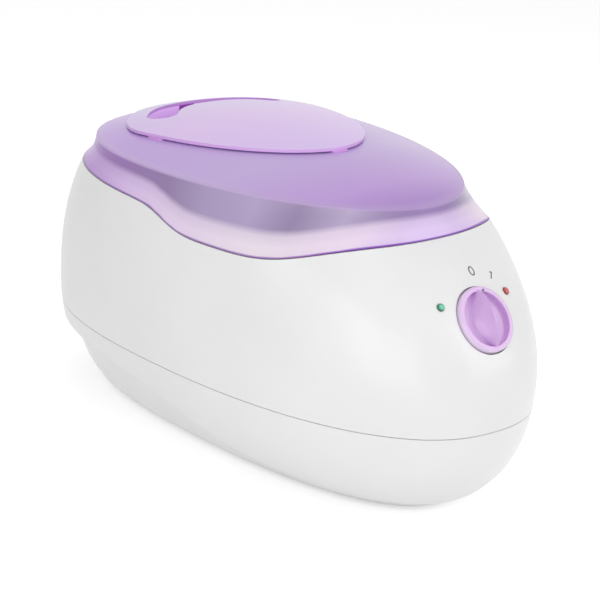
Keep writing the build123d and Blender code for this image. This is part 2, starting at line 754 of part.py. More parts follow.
# Heating element: bent tube with a pin at each end
with BuildPart() as heating_element:
    add(rod(element_path, ELEMENT_RADIUS, ELEMENT_BEND))
    with BuildSketch(Plane(origin=(-ELEMENT_REAR, 0, element_z), x_dir=(0, 1, 0), z_dir=(-1, 0, 0))):
        with Locations((-ELEMENT_SIDE, 0), (ELEMENT_SIDE, 0)):
            Circle(PIN_RADIUS)
    extrude(amount=PIN_LENGTH)
heating_element.part.label = "heating_element"
export_step(heating_element.part, "parts/heating_element.step")

# Straps and nuts that press the element into its groove
strap_places = [(x, y + math.copysign(CLAMP_INWARD / 2, y)) for x, y in clamp_studs]
with BuildPart() as element_clamps:
    with BuildSketch(Plane.XY.offset(strap_low)):
        with Locations(strap_places):
            RectangleRounded(CLAMP_WIDTH, CLAMP_LENGTH, 2)
        with Locations(clamp_studs):
            Circle(STUD_RADIUS + FIT, mode=Mode.SUBTRACT)
    extrude(amount=CLAMP_THICKNESS)
element_clamps.part.label = "element_clamps"
export_step(element_clamps.part, "parts/element_clamps.step")

with BuildPart() as clamp_nuts:
    with BuildSketch(Plane.XY.offset(strap_low)):
        with Locations(clamp_studs):
            nut_outline(NUT_FLATS, STUD_RADIUS + FASTENER_GAP)
    extrude(amount=-NUT_HEIGHT)
clamp_nuts.part.label = "clamp_nuts"
export_step(clamp_nuts.part, "parts/clamp_nuts.step")

# Blanket of insulation round the tank
blanket_in = POT_WALL + BLANKET_GAP
with BuildPart() as insulation_blanket:
    add(pot_solid(BLANKET_LOW, BLANKET_HIGH, blanket_in + BLANKET))
    add(pot_solid(BLANKET_LOW - 1, BLANKET_HIGH + 1, blanket_in), mode=Mode.SUBTRACT)
insulation_blanket.part.label = "insulation_blanket"
export_step(insulation_blanket.part, "parts/insulation_blanket.step")

# Thermal fuse under the heater plate, and the strap that holds it
fuse_axis = Plane(origin=(FUSE_X, 0, plate_low - FUSE_RADIUS - 0.1), x_dir=(0, 1, 0), z_dir=(1, 0, 0))
with BuildPart() as thermal_fuse:
    with BuildSketch(fuse_axis):
        Circle(FUSE_RADIUS)
    extrude(amount=FUSE_LENGTH / 2, both=True)
thermal_fuse.part.label = "thermal_fuse"
export_step(thermal_fuse.part, "parts/thermal_fuse.step")

with BuildPart() as fuse_clip:
    with BuildSketch(fuse_axis):
        Circle(FUSE_RADIUS + 0.1 + FUSE_STRAP)
        with Locations((0, FUSE_RADIUS + 0.1 - FUSE_STRAP / 2)):
            Rectangle(8 * FUSE_RADIUS, FUSE_STRAP)
        Circle(FUSE_RADIUS + FASTENER_GAP, mode=Mode.SUBTRACT)
        with Locations((0, FUSE_RADIUS + 0.1 + FUSE_RADIUS)):
            Rectangle(8 * FUSE_RADIUS, 2 * FUSE_RADIUS, mode=Mode.SUBTRACT)
    extrude(amount=FUSE_LENGTH / 4, both=True)
fuse_clip.part.label = "fuse_clip"
export_step(fuse_clip.part, "parts/fuse_clip.step")

# Earth screw with its ring tag
with BuildPart() as earth_screw:
    with BuildSketch(Plane.XY.offset(plate_low)):
        with Locations((EARTH_X, 0)):
            Circle(2.4 * EARTH_RADIUS)
        with Locations((EARTH_X, BLOCK_PITCH)):
            RectangleRounded(2 * EARTH_RADIUS, 2 * BLOCK_PITCH, 1)
    extrude(amount=-TAB_THICKNESS)
    with BuildSketch(Plane.XY.offset(plate_low - TAB_THICKNESS)):
        with Locations((EARTH_X, 0)):
            Circle(1.9 * EARTH_RADIUS)
    extrude(amount=-SCREW_HEAD_HEIGHT)
    with BuildSketch(Plane.XY.offset(plate_low)):
        with Locations((EARTH_X, 0)):
            Circle(EARTH_RADIUS)
    extrude(amount=HEATER_PLATE - 1.5)
earth_screw.part.label = "earth_screw"
export_step(earth_screw.part, "parts/earth_screw.step")

# Control knob: round base with a scooped face and an arched grip
knob_low = KNOB_REST - POCKET_DEPTH
scoop_floor = knob_low + KNOB_RIM - SCOOP_DEPTH
nut_top = SPINDLE_NUT - POCKET_DEPTH
GRIP = PANEL.rotated((0, 0, -GRIP_TURN))


def grip_face(step):
    """Level section of the grip at a share of its height."""
    length = GRIP_REACH * share(step, 1, 2.5)
    width = GRIP_TOP + (GRIP_HALF - GRIP_TOP) * (1 - step) ** 1.4
    with BuildSketch(GRIP.offset(scoop_floor + GRIP_HEIGHT * step), mode=Mode.PRIVATE) as face:
        with BuildLine():
            ThreePointArc((0, -length), (width, 0), (0, length))
            ThreePointArc((0, length), (-width, 0), (0, -length))
        make_face()
    return face.sketch


with BuildPart() as control_knob:
    with BuildSketch(PANEL.offset(knob_low)):
        Circle(KNOB_RADIUS)
    extrude(amount=KNOB_RIM)
    fillet(control_knob.edges().sort_by(Axis(PANEL.origin, PANEL.z_dir))[-1], KNOB_ROUND)
    with BuildSketch(PANEL.offset(scoop_floor)):
        Circle(SCOOP_RADIUS)
    extrude(amount=SCOOP_DEPTH + 1, mode=Mode.SUBTRACT)
    loft([grip_face(step) for step in (0, 0.3, 0.55, 0.75, 0.9, 0.98)])
    with BuildSketch(PANEL.offset(knob_low)):
        Circle(SPINDLE_NUT_FLATS / 2 + 2)
    extrude(amount=nut_top + 0.6 - knob_low, mode=Mode.SUBTRACT)
    with BuildSketch(PANEL.offset(knob_low)):
        Circle(SPINDLE_RADIUS)
    extrude(amount=SPINDLE_IN - knob_low, mode=Mode.SUBTRACT)
control_knob.part.label = "control_knob"
export_step(control_knob.part, "parts/control_knob.step")

# Thermostat: body with a threaded bush, its spindle, its bracket and the nut in the pocket
body_top = -pocket_bottom - BRACKET
body_low = body_top - THERMOSTAT_DEEP
with BuildPart() as thermostat_body:
    with BuildSketch(PANEL.offset(body_low)):
        RectangleRounded(THERMOSTAT_WIDTH, THERMOSTAT_TALL, 2)
    extrude(amount=THERMOSTAT_DEEP)
    with BuildSketch(PANEL.offset(body_top - 1)):
        Circle(BUSH_RADIUS)
    extrude(amount=nut_top + 0.2 - body_top + 1)
    with BuildSketch(PANEL.offset(body_low + 4)):
        Circle(SPINDLE_RADIUS + SPINDLE_RUN)
    extrude(amount=THERMOSTAT_DEEP + BUSH_RADIUS + pocket_bottom, mode=Mode.SUBTRACT)
    with BuildSketch(PANEL.offset(body_low)):
        with Locations((-TAB_SIDE, -TAB_SIDE), (TAB_SIDE, -TAB_SIDE)):
            Rectangle(TAB_WIDTH, TAB_THICKNESS)
    extrude(amount=-TAB_LENGTH)
thermostat_body.part.label = "thermostat_body"
export_step(thermostat_body.part, "parts/thermostat_body.step")

with BuildPart() as thermostat_spindle:
    with BuildSketch(PANEL.offset(body_low + 4 + SPINDLE_RADIUS)):
        Circle(SPINDLE_RADIUS)
    extrude(amount=SPINDLE_IN - 0.2 - body_low - 4 - SPINDLE_RADIUS)
thermostat_spindle.part.label = "thermostat_spindle"
export_step(thermostat_spindle.part, "parts/thermostat_spindle.step")

with BuildPart() as thermostat_bracket:
    with BuildSketch(PANEL.offset(-pocket_bottom)):
        Rectangle(THERMOSTAT_WIDTH + 2 * BRACKET + FIT, THERMOSTAT_TALL)
    extrude(amount=-BRACKET_ARM)
    with BuildSketch(PANEL.offset(body_top)):
        Rectangle(THERMOSTAT_WIDTH + FIT, THERMOSTAT_TALL + 2)
    extrude(amount=-BRACKET_ARM, mode=Mode.SUBTRACT)
    with BuildSketch(PANEL.offset(-pocket_bottom)):
        Circle(BUSH_RADIUS + FIT)
    extrude(amount=-BRACKET, mode=Mode.SUBTRACT)
thermostat_bracket.part.label = "thermostat_bracket"
export_step(thermostat_bracket.part, "parts/thermostat_bracket.step")

with BuildPart() as spindle_nut:
    with BuildSketch(PANEL.offset(-POCKET_DEPTH)):
        nut_outline(SPINDLE_NUT_FLATS, BUSH_RADIUS + FASTENER_GAP)
    extrude(amount=SPINDLE_NUT)
spindle_nut.part.label = "spindle_nut"
export_step(spindle_nut.part, "parts/spindle_nut.step")


# Lamps: round lenses through the casing, and their holders
def lens(side):
    """Lens with a rounded tip that stands a little proud of the casing."""
    with BuildPart(mode=Mode.PRIVATE) as body:
        with BuildSketch(lamp_plane(side).offset(LAMP_PROUD - LAMP_LENGTH)):
            Circle(LAMP_RADIUS)
        extrude(amount=LAMP_LENGTH)
        tip = body.edges().sort_by(Axis(lamp_plane(side).origin, lamp_plane(side).z_dir))[-1]
        fillet(tip, LAMP_PROUD * 0.8)
    return body.part


with BuildPart() as green_lens:
    add(lens(-1))
green_lens.part.label = "green_lens"
export_step(green_lens.part, "parts/green_lens.step")

with BuildPart() as red_lens:
    add(lens(1))
red_lens.part.label = "red_lens"
export_step(red_lens.part, "parts/red_lens.step")

with BuildPart() as lamp_holders:
    for side in (-1, 1):
        with BuildSketch(lamp_plane(side).offset(-WALL - 0.6)):
            Circle(HOLDER_RADIUS)
        extrude(amount=-HOLDER_LENGTH)
        with BuildSketch(lamp_plane(side).offset(-WALL - 0.6)):
            Circle(LAMP_RADIUS + FASTENER_GAP)
        extrude(amount=-LAMP_LENGTH / 2, mode=Mode.SUBTRACT)
lamp_holders.part.label = "lamp_holders"
export_step(lamp_holders.part, "parts/lamp_holders.step")

# Cord gland: bushing in the rear of the foot
with BuildPart() as cord_gland:
    with BuildSketch(ENTRY.offset(-GLAND_WALL - GLAND_FLANGE_THICKNESS)):
        Circle(GLAND_RADIUS)
    extrude(amount=GLAND_WALL + GLAND_FLANGE_THICKNESS)
    with BuildSketch(ENTRY.offset(-GLAND_WALL - GLAND_FLANGE_THICKNESS)):
        Circle(GLAND_FLANGE - 1)
    extrude(amount=GLAND_FLANGE_THICKNESS)
    with BuildSketch(ENTRY):
        Circle(GLAND_FLANGE)
    extrude(amount=GLAND_FLANGE_THICKNESS)
    with BuildSketch(ENTRY):
        Circle(GLAND_NOSE)
    extrude(amount=GLAND_OUT)
    with BuildSketch(ENTRY.offset(-GLAND_WALL - GLAND_FLANGE_THICKNESS)):
        Circle(GLAND_BORE)
    extrude(amount=GLAND_WALL + GLAND_FLANGE_THICKNESS + GLAND_OUT, mode=Mode.SUBTRACT)
cord_gland.part.label = "cord_gland"
export_step(cord_gland.part, "parts/cord_gland.step")

# Cord clamp: bar on two bosses, and its screws
with BuildPart() as cord_clamp:
    with BuildSketch(Plane.XY.offset(clamp_seat)):
        with Locations((CORD_CLAMP_X, 0)):
            RectangleRounded(CORD_CLAMP_WIDTH, 2 * CORD_CLAMP_HALF + CORD_CLAMP_WIDTH, 2)
        with Locations(clamp_bosses):
            Circle(CLAMP_SCREW + FIT, mode=Mode.SUBTRACT)
    extrude(amount=CORD_CLAMP_THICKNESS)
cord_clamp.part.label = "cord_clamp"
export_step(cord_clamp.part, "parts/cord_clamp.step")

with BuildPart() as clamp_screws:
    with BuildSketch(Plane.XY.offset(floor_top + 0.5)):
        with Locations(clamp_bosses):
            Circle(CLAMP_SCREW)
    extrude(amount=CORD_CLAMP_SPACE + CORD_CLAMP_THICKNESS)
    with BuildSketch(Plane.XY.offset(clamp_seat + CORD_CLAMP_THICKNESS)):
        with Locations(clamp_bosses):
            Circle(2 * CLAMP_SCREW)
    extrude(amount=CLAMP_SCREW)
clamp_screws.part.label = "clamp_screws"
export_step(clamp_screws.part, "parts/clamp_screws.step")

# Terminal block on the floor of the base
block_front = BLOCK_X + BLOCK_LENGTH / 2
with BuildPart() as terminal_block:
    with BuildSketch(Plane.XY.offset(floor_top)):
        with Locations((BLOCK_X, 0)):
            RectangleRounded(BLOCK_LENGTH, BLOCK_WIDTH, 1.5)
    extrude(amount=BLOCK_HEIGHT)
    with BuildSketch(Plane.XY.offset(floor_top + BLOCK_HEIGHT)):
        with Locations((BLOCK_X, 0)):
            with GridLocations(BLOCK_LENGTH / 2, BLOCK_PITCH, 2, 3):
                Circle(LEAD_RADIUS + 0.9)
    extrude(amount=-BLOCK_PITCH / 2, mode=Mode.SUBTRACT)
terminal_block.part.label = "terminal_block"
export_step(terminal_block.part, "parts/terminal_block.step")

# Leads from the block and the thermostat to the element and the earth screw
tab_low = body_low - TAB_LENGTH
tabs = [PANEL.from_local_coords((side * TAB_SIDE, -TAB_SIDE, tab_low)) for side in (-1, 1)]
drops = [PANEL.from_local_coords((side * TAB_SIDE, -TAB_SIDE, tab_low - 3 * LEAD_BEND)) for side in (-1, 1)]
pin_end = -ELEMENT_REAR - PIN_LENGTH
turn_x = pin_end - 2 * LEAD_BEND
lead_runs = (
    ((block_front, 0, LEAD_LOW), (drops[0].X, 0, LEAD_LOW), tuple(drops[0]), tuple(tabs[0])),
    (tuple(tabs[1]), tuple(drops[1]), (drops[1].X, drops[1].Y, LEAD_HIGH),
     (turn_x, drops[1].Y, LEAD_HIGH), (turn_x, ELEMENT_SIDE, LEAD_HIGH),
     (turn_x, ELEMENT_SIDE, element_z), (pin_end, ELEMENT_SIDE, element_z)),
    ((block_front, -BLOCK_PITCH, LEAD_LOW), (block_front + 3 * LEAD_BEND, -BLOCK_PITCH, LEAD_LOW),
     (block_front + 3 * LEAD_BEND, -ELEMENT_SIDE, LEAD_LOW), (turn_x, -ELEMENT_SIDE, LEAD_LOW),
     (turn_x, -ELEMENT_SIDE, element_z), (pin_end, -ELEMENT_SIDE, element_z)),
    ((block_front, BLOCK_PITCH, LEAD_LOW), (EARTH_X, 2 * BLOCK_PITCH, LEAD_LOW),
     (EARTH_X, 1.6 * BLOCK_PITCH, plate_low - TAB_THICKNESS)),
)
with BuildPart() as leads:
    for points in lead_runs:
        add(rod(points, LEAD_RADIUS, LEAD_BEND))
leads.part.label = "leads"
export_step(leads.part, "parts/leads.step")

# Rubber feet with a plug in the floor of the base
with BuildPart() as rubber_feet:
    with BuildSketch(Plane.XY):
        with Locations(feet):
            Circle(FOOT_RADIUS)
    extrude(amount=FOOT_HEIGHT)
    with BuildSketch(Plane.XY.offset(FOOT_HEIGHT)):
        with Locations(feet):
            Circle(FOOT_PLUG)
    extrude(amount=FLOOR)
    with BuildSketch(Plane.XY.offset(floor_top)):
        with Locations(feet):
            Circle(FOOT_BARB)
    extrude(amount=FOOT_BARB / 2, taper=30)
rubber_feet.part.label = "rubber_feet"
export_step(rubber_feet.part, "parts/rubber_feet.step")

# Screws from below, through the base towers into the housing posts
head_top = FOOT_HEIGHT + HEAD_DEPTH
with BuildPart() as base_screws:
    with BuildSketch(Plane.XY.offset(head_top)):
        with Locations(posts):
            Circle(SCREW_HEAD)
    extrude(amount=-SCREW_HEAD_HEIGHT)
    with BuildSketch(Plane.XY.offset(head_top)):
        with Locations(posts):
            Circle(SCREW_RADIUS)
    extrude(amount=TOWER_TOP + SEAM_GAP + SCREW_BITE - head_top)
base_screws.part.label = "base_screws"
export_step(base_screws.part, "parts/base_screws.step")
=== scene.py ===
"""Looks of the paraffin bath: materials, dial marks, well tray, floor, light and camera.

Metres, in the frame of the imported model. +X points to the control end and +Z up.
"""
import json
import math

import bpy
from mathutils import Matrix, Vector
from mathutils.bvhtree import BVHTree


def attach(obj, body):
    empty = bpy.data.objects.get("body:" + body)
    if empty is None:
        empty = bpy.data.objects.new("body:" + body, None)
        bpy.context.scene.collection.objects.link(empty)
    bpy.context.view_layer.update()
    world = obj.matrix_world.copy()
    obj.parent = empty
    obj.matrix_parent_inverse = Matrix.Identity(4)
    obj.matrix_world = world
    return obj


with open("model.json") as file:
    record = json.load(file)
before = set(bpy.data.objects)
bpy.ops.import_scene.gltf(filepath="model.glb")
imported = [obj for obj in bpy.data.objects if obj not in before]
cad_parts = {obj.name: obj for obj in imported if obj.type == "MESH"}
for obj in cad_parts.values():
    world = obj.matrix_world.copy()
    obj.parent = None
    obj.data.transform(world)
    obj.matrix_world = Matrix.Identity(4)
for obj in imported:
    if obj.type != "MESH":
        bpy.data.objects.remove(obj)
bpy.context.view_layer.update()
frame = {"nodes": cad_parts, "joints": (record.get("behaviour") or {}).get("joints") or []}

# Camera, as the photograph was taken
CAMERA_TURN = math.radians(43.88)
CAMERA_RISE = math.radians(19.26)
CAMERA_ROLL = math.radians(4.27)
CAMERA_DISTANCE = 1.3983
CAMERA_TARGET = Vector((0.0052, 0.0, 0.092))
CAMERA_LENS = 128.6
SENSOR_WIDTH = 36
CLIP_START = 0.05

# Dial marks on the panel, round the middle of the knob
MARK_HEIGHT = 0.0058
MARK_STROKE = 0.0008
ZERO_TURN = math.radians(13.6)
ZERO_RADIUS = 0.0322
ZERO_HALF = 0.0018
ZERO_POINTS = 28
ONE_TURN = math.radians(40.8)
ONE_RADIUS = 0.0341
FLAG_PLACES = (-0.0015, -0.0007, 0)
FLAG_SLOPE = 0.9
DOT_TURN = math.radians(17.4)
DOT_PLACE = 0.0181
DOT_RADIUS = 0.0009
DOT_FILL = 0.98
DOT_POINTS = 12
LIFT = 0.0001
PROBE_HEIGHT = 0.03

# Dark patch of painted shade on the rear wall of the finger well, over its window, and how softly it ends
WELL_TOP = 0.197
WELL_REAR = -0.1145
WELL_SOFT = 0.001
WINDOW_HALF = 0.0065
WINDOW_SOFT = 0.0004

# Tray that closes the finger well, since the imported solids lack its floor
SLOT_END_X = -0.09
SLOT_END_Y = 0.045
SLOT_MIDDLE_X = -0.1095
SLOT_HALF = 0.01
TRAY_WALL = 0.0016
TRAY_FLOOR = 0.183
TRAY_TOP = 0.1874
SLOT_STEPS = 24
CAP_STEPS = 8

# Wavy edge of the lid and crease of its dome, from the same sizes as the part
EDGE_REAR = 0.164
EDGE_DIP = 0.1525
EDGE_FRONT = 0.168
DIP_X = 0.033
DIP_REAR_SPREAD = 0.051
DIP_FRONT_SPREAD = 0.066
CREASE = 0.1864

# Stretch along X over which the lid's painted light and shade follow its wavy edge
EDGE_START = -0.17
EDGE_END = 0.13
EDGE_STATIONS = 21

# Lid's painted light and shade: share of the upper colour by height over the wavy edge (pale flange of
# painted light into a band of painted shade, and a painted shade line at the edge), and over the crease
# (band into dome, and a painted highlight on the crease)
FLANGE_LIGHT_TO_SHADE_BAND = ((0.0065, 0), (0.0095, 0.12), (0.0125, 0.22), (0.0165, 1))
EDGE_SHADE_LINE = ((0.0002, 1), (0.0011, 0.9), (0.0018, 0))
BAND_TO_DOME = ((-0.0004, 0), (0.0006, 1))
CREASE_HIGHLIGHT = ((-0.0016, 0), (-0.0002, 0.9), (0.0016, 0))

# Shading
SHARP_ANGLE = math.radians(32)
DISPLAY_GAMMA = 2.2
# Upright normals between which the plate's painted rim highlight turns into its top colour
PLATE_RIM_HIGHLIGHT_NORMAL = 0.3
PLATE_FACE_NORMAL = 0.85

# Floor, and lights with their power in watts
FLOOR_SIZE = 8
FLOOR_DROP = 0.0005
FLOOR_SHADE = 0.9
FLOOR_GLOW = 0.45
WORLD_LIGHT = 0.46
LIGHT_SIZE = 1.0
LIGHTS = (
    ("top", (-0.1, 0.1, 1.8), 4.8),
    ("key", (0.9, -0.5, 1.5), 1.0),
    ("side", (1.2, 0.9, 0.7), 5.7),
    ("fill", (1.1, -1.1, 0.45), 5.3),
    ("near", (0.35, -1.3, 0.45), 2.7),
)


def linear(colour):
    """Linear values of a colour that is given as it shows, from 0 to 255."""
    out = []
    for value in colour:
        v = value / 255
        out.append(v / 12.92 if v <= 0.04045 else ((v + 0.055) / 1.055) ** 2.4)
    return out


def edge_height(x):
    """Height of the lid's wavy edge above a station along X."""
    if x < DIP_X:
        return EDGE_REAR - (EDGE_REAR - EDGE_DIP) * math.exp(-((DIP_X - x) / DIP_REAR_SPREAD) ** 4)
    return EDGE_FRONT - (EDGE_FRONT - EDGE_DIP) * math.exp(-((x - DIP_X) / DIP_FRONT_SPREAD) ** 3.5)


def knob_axes():
    """Middle of the knob on the casing, and the axes across, up the panel and outwards."""
    joint = next(j for j in frame["joints"] if j["name"] == "knob_turn")
    out = -Vector(joint["axis"]).normalized()
    across = Vector((0, 1, 0))
    return Vector(joint["pos_m"]), across, out.cross(across), out


class Surface:
    """Node material whose parts are chained from object coordinates."""

    def __init__(self, name, colour, roughness):
        self.material = bpy.data.materials.new(name)
        self.material.use_nodes = True
        self.tree = self.material.node_tree
        self.shader = self.tree.nodes["Principled BSDF"]
        texture = self.tree.nodes.new("ShaderNodeTexCoord")
        self.coords = texture.outputs["Object"]
        self.directions = texture.outputs["Normal"]
        self.colour = linear(colour)
        self.shader.inputs["Base Color"].default_value = (*self.colour, 1)
        self.shader.inputs["Roughness"].default_value = roughness
        self.roughness = roughness
        self.normal = None

    def noise(self, scale, detail=2.0, stretch=(1, 1, 1)):
        """Noise value at a scale in cycles per metre."""
        mapping = self.tree.nodes.new("ShaderNodeMapping")
        mapping.inputs["Scale"].default_value = stretch
        texture = self.tree.nodes.new("ShaderNodeTexNoise")
        texture.inputs["Scale"].default_value = scale
        texture.inputs["Detail"].default_value = detail
        self.tree.links.new(self.coords, mapping.inputs["Vector"])
        self.tree.links.new(mapping.outputs["Vector"], texture.inputs["Vector"])
        return texture.outputs["Fac"]

    def tint(self, scale, amount, detail=3.0, stretch=(1, 1, 1)):
        """Soft variation of the colour."""
        ramp = self.tree.nodes.new("ShaderNodeValToRGB")
        ramp.color_ramp.elements[0].position = 0.3
        ramp.color_ramp.elements[1].position = 0.7
        ramp.color_ramp.elements[0].color = (*[c * (1 - amount) for c in self.colour], 1)
        ramp.color_ramp.elements[1].color = (*[min(c * (1 + amount), 1) for c in self.colour], 1)
        self.tree.links.new(self.noise(scale, detail, stretch), ramp.inputs["Fac"])
        self.tree.links.new(ramp.outputs["Color"], self.shader.inputs["Base Color"])
        return self

    def sheen_spread(self, scale, amount, detail=2.0, stretch=(1, 1, 1)):
        """Variation of the roughness."""
        span = self.tree.nodes.new("ShaderNodeMapRange")
        span.inputs["To Min"].default_value = max(self.roughness - amount, 0.02)
        span.inputs["To Max"].default_value = self.roughness + amount
        self.tree.links.new(self.noise(scale, detail, stretch), span.inputs["Value"])
        self.tree.links.new(span.outputs["Result"], self.shader.inputs["Roughness"])
        return self

    def rounded(self, radius):
        """Edges that look rounded by a small radius."""
        bevel = self.tree.nodes.new("ShaderNodeBevel")
        bevel.samples = 6
        bevel.inputs["Radius"].default_value = radius
        self.normal = bevel.outputs["Normal"]
        self.tree.links.new(self.normal, self.shader.inputs["Normal"])
        return self

    def grain(self, scale, depth, detail=2.0, stretch=(1, 1, 1)):
        """Fine relief with a depth in metres."""
        bump = self.tree.nodes.new("ShaderNodeBump")
        bump.inputs["Strength"].default_value = 1.0
        bump.inputs["Distance"].default_value = depth
        self.tree.links.new(self.noise(scale, detail, stretch), bump.inputs["Height"])
        if self.normal is not None:
            self.tree.links.new(self.normal, bump.inputs["Normal"])
        self.normal = bump.outputs["Normal"]
        self.tree.links.new(self.normal, self.shader.inputs["Normal"])
        return self

    def along(self, vector, axis):
        """Component of a vector along an axis."""
        split = self.tree.nodes.new("ShaderNodeSeparateXYZ")
        self.tree.links.new(vector, split.inputs["Vector"])
        return split.outputs[axis]

    def place(self, axis):
        """Object coordinate along an axis."""
        return self.along(self.coords, axis)

    def vector(self, operation, first, second=None):
        """Vector operation on a node output and a constant."""
        node = self.tree.nodes.new("ShaderNodeVectorMath")
        node.operation = operation
        self.tree.links.new(first, node.inputs[0])
        if second is not None:
            node.inputs[1].default_value = second
        return node.outputs["Value" if operation == "LENGTH" else "Vector"]

    def off_axis(self, point, direction):
        """Distance from a line through a point, along a unit direction."""
        from_point = self.vector("SUBTRACT", self.coords, point)
        return self.vector("LENGTH", self.vector("CROSS_PRODUCT", from_point, direction))

    def aside(self):
        """Distance from the middle plane of the bath."""
        node = self.tree.nodes.new("ShaderNodeMath")
        node.operation = "ABSOLUTE"
        self.tree.links.new(self.place("Y"), node.inputs[0])
        return node.outputs["Value"]

    def span(self, value, low, high, start=0.0, end=1.0):
        """Value moved from one range to another, and held at its ends."""
        node = self.tree.nodes.new("ShaderNodeMapRange")
        for name, number in (("From Min", low), ("From Max", high), ("To Min", start), ("To Max", end)):
            node.inputs[name].default_value = number
        self.tree.links.new(value, node.inputs["Value"])
        return node.outputs["Result"]

    def bands(self, value, stops):
        """Colour along a value, from pairs of a place in metres and a colour."""
        low, high = stops[0][0], stops[-1][0]
        node = self.tree.nodes.new("ShaderNodeValToRGB")
        elements = node.color_ramp.elements
        elements[0].color = (*linear(stops[0][1]), 1)
        elements[1].color = (*linear(stops[-1][1]), 1)
        for place, colour in stops[1:-1]:
            elements.new((place - low) / (high - low)).color = (*linear(colour), 1)
        self.tree.links.new(self.span(value, low, high), node.inputs["Fac"])
        return node.outputs["Color"]

    def level(self, value, stops):
        """Factor along a value, from pairs of a place in metres and a factor."""
        return self.bands(value, [(place, [255 * factor ** (1 / DISPLAY_GAMMA)] * 3)
                                  for place, factor in stops])

    def mixed(self, factor, first, second):
        """First colour where the factor is 0, and the second where it is 1."""
        node = self.tree.nodes.new("ShaderNodeMix")
        node.data_type = "RGBA"
        self.tree.links.new(factor, node.inputs["Factor"])
        self.tree.links.new(first, node.inputs[6])
        self.tree.links.new(second, node.inputs[7])
        return node.outputs[2]

    def height_over(self, curve, low, high, count):
        """Height above a curve along X, which is sampled at even stations from low to high."""
        stations = [low + (high - low) * i / (count - 1) for i in range(count)]
        heights = [curve(x) for x in stations]
        bottom, top = min(heights), max(heights)
        node = self.tree.nodes.new("ShaderNodeFloatCurve")
        points = node.mapping.curves[0].points
        for x, z in zip(stations[1:-1], heights[1:-1]):
            points.new((x - low) / (high - low), (z - bottom) / (top - bottom))
        points[0].location = (0, (heights[0] - bottom) / (top - bottom))
        points[-1].location = (1, (heights[-1] - bottom) / (top - bottom))
        node.mapping.update()
        self.tree.links.new(self.span(self.place("X"), low, high), node.inputs["Value"])
        height = self.span(node.outputs["Value"], 0, 1, bottom, top)
        gap = self.tree.nodes.new("ShaderNodeMath")
        gap.operation = "SUBTRACT"
        self.tree.links.new(self.place("Z"), gap.inputs[0])
        self.tree.links.new(height, gap.inputs[1])
        return gap.outputs["Value"]

    def paint(self, colour):
        """Colour from a node output."""
        self.tree.links.new(colour, self.shader.inputs["Base Color"])
        return self

    def set(self, **values):
        """Constants on the shader's own sockets."""
        for name, value in values.items():
            self.shader.inputs[name.replace("_", " ")].default_value = value
        return self


def satin(surface, edge=0.0005):
    """Faint texture and softened edges of a moulding."""
    return surface.sheen_spread(220, 0.04).rounded(edge).grain(1400, 0.000012)


def moulded(name, colour, roughness, edge=0.0005):
    """Moulded plastic of one colour."""
    return satin(Surface(name, colour, roughness).tint(14, 0.02), edge)


def metal(name, colour, roughness, stretch=(1, 1, 1)):
    """Drawn or plated metal with fine scratches."""
    surface = Surface(name, colour, roughness).tint(30, 0.06, stretch=stretch)
    surface.sheen_spread(400, 0.08, stretch=stretch).rounded(0.0003)
    return surface.grain(900, 0.00001, stretch=stretch).set(Metallic=1.0)


def lid_plastic():
    """Translucent purple with painted light and shade: a flange painted pale as light, a band of painted
    shade under the crease, a painted shade line along the edge, a painted highlight on the crease and a
    pale dome that is painted darker towards its front end.
    """
    surface = satin(Surface("lid_purple", (200, 176, 222), 0.25), 0.0008)
    x, z = surface.place("X"), surface.place("Z")
    over = surface.height_over(edge_height, EDGE_START, EDGE_END, EDGE_STATIONS)
    # Painted light: the flange is painted pale, palest along the middle of the lid.
    flange = surface.bands(x, ((-0.13, (200, 142, 232)), (-0.10, (208, 160, 238)), (-0.05, (238, 210, 255)),
                               (0.0, (248, 228, 255)), (0.06, (255, 242, 255)), (0.105, (252, 232, 255)),
                               (0.125, (228, 200, 255)), (0.142, (208, 164, 242))))
    # Painted shade: the band under the crease is painted darker.
    shade = surface.bands(x, ((-0.13, (198, 140, 230)), (-0.105, (168, 108, 204)), (-0.05, (164, 128, 192)),
                              (-0.015, (162, 138, 184)), (0.015, (184, 166, 206)), (0.048, (190, 172, 212)),
                              (0.072, (162, 144, 184)), (0.094, (194, 176, 212)), (0.111, (164, 142, 190)),
                              (0.130, (156, 104, 198))))
    # Painted shade: a deeper purple line along the lid's lower edge.
    line = surface.bands(x, ((-0.12, (150, 110, 182)), (0.08, (176, 132, 208)), (0.10, (160, 96, 212)),
                             (0.12, (146, 70, 206))))
    # Pale dome with painted shade that deepens towards its front end; its rear is painted palest.
    dome = surface.bands(x, ((-0.14, (224, 186, 255)), (-0.06, (216, 182, 246)), (0.02, (214, 188, 242)),
                             (0.08, (208, 168, 238)), (0.112, (184, 140, 220))))
    # Painted highlight: a paler line along the crease.
    crease = surface.bands(x, ((-0.14, (224, 196, 250)), (0.0, (220, 196, 240)), (0.11, (200, 168, 226))))
    skirt = surface.mixed(surface.level(over, FLANGE_LIGHT_TO_SHADE_BAND), flange, shade)
    skirt = surface.mixed(surface.level(over, EDGE_SHADE_LINE), skirt, line)
    to_dome = surface.level(z, [(CREASE + rise, share) for rise, share in BAND_TO_DOME])
    to_crease_highlight = surface.level(z, [(CREASE + rise, share) for rise, share in CREASE_HIGHLIGHT])
    return surface.paint(surface.mixed(to_crease_highlight, surface.mixed(to_dome, skirt, dome), crease))


